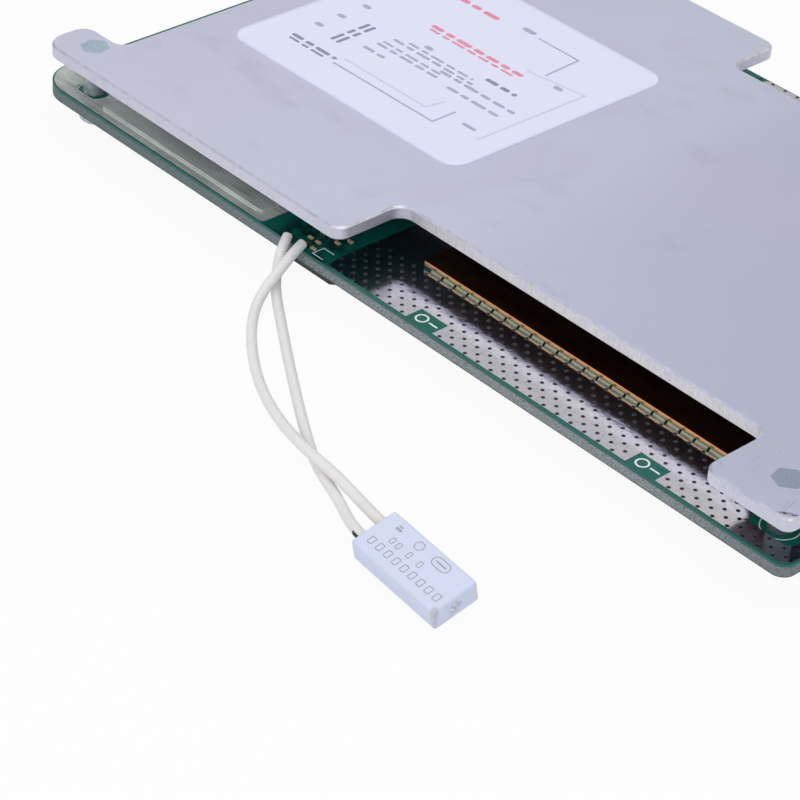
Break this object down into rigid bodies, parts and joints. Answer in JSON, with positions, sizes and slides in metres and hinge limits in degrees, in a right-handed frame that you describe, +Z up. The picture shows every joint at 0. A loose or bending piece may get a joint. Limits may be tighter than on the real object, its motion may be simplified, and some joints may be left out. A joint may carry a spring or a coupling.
{
  "type": "battery management board",
  "caption": "Power board under an aluminium heat spreader on standoffs, with tinned cable pads, copper busbars and a wired thermal switch.",
  "frame": {"origin": "middle of the board and spreader together, on the surface that the screw heads stand on; the loose leads and the switch aren't counted", "axes": "+X along the board, +Y from the front edge with the leads to the rear edge, +Z up out of the spreader"},
  "size_m": [0.182, 0.1544, 0.015],
  "materials": {
    "solder_mask_board": "semi-gloss green solder mask over grey glass laminate",
    "tin": "hot-dipped tin, nearly mirror bright",
    "copper": "rolled copper strip",
    "solder": "dull soldered joint",
    "spreader_aluminium": "fine brushed aluminium sheet with bright rims",
    "standoff_steel": "zinc plated steel",
    "screw_steel": "nickel plated steel",
    "moulding_black": "matt black moulding",
    "silicone_grey": "soft grey silicone",
    "shunt_metal": "resistance alloy strip",
    "ceramic_beige": "beige ceramic with tinned ends",
    "header_nylon": "off-white nylon",
    "label_film": "white film label with rounded corners",
    "switch_moulding": "pale bluish white moulding",
    "switch_resin": "cured resin",
    "lead_insulation": "white wire insulation"
  },
  "bodies": {
    "root": {"circuit_board": "solder_mask_board", "front_right_pad": "tin", "front_left_pad": "tin", "rear_pad": "tin", "front_busbar": "copper", "left_busbar": "copper", "rear_busbar": "copper", "front_busbar_solder": "solder", "left_busbar_solder": "solder", "rear_busbar_solder": "solder", "lead_solder": "solder", "heat_spreader": "spreader_aluminium", "standoff_front_left": "standoff_steel", "standoff_front_right": "standoff_steel", "standoff_rear_left": "standoff_steel", "standoff_rear_right": "standoff_steel", "board_screws": "screw_steel", "spring_washers": "screw_steel", "flat_washers": "screw_steel", "mosfets_front": "moulding_black", "mosfets_rear": "moulding_black", "monitor_chip": "moulding_black", "gate_drivers": "moulding_black", "choke": "moulding_black", "silicone_strip_front": "silicone_grey", "silicone_strip_rear": "silicone_grey", "shunt_resistors": "shunt_metal", "sense_resistors": "ceramic_beige", "filter_capacitors": "ceramic_beige", "balance_header": "header_nylon", "header_pins": "tin", "spreader_label": "label_film", "switch_case": "switch_moulding", "switch_seal": "switch_resin", "lead_a": "lead_insulation", "lead_b": "lead_insulation"}
  },
  "joints": []
}
